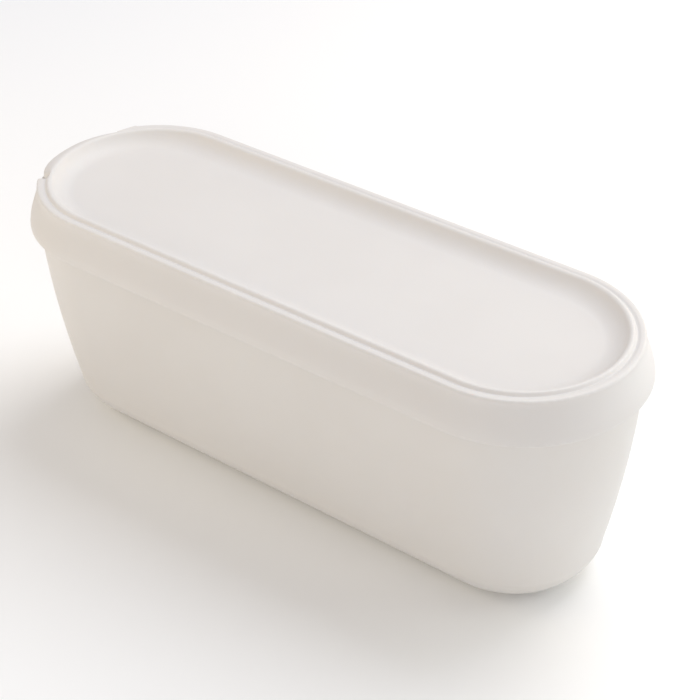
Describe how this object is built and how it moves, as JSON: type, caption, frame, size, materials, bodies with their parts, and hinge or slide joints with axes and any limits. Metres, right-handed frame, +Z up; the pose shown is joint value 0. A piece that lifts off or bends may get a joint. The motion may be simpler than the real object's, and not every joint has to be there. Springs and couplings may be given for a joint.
{
  "type": "ice cream tub",
  "caption": "Long, narrow ice cream tub with round ends, tapering walls, a rounded foot and a press-on lid with a sunk panel and a lift tab.",
  "frame": {"origin": "middle of the tub's flat foot, on the surface it stands on", "axes": "+X along the tub's length, away from the lid's lift tab; +Y across its width; +Z up"},
  "size_m": [0.3114, 0.1094, 0.1192],
  "materials": {
    "tub_plastic": "smooth moulded white plastic, satin",
    "lid_plastic": "soft moulded white plastic, fine matte texture"
  },
  "bodies": {
    "root": {"tub": "tub_plastic", "lid": "lid_plastic"}
  },
  "joints": []
}
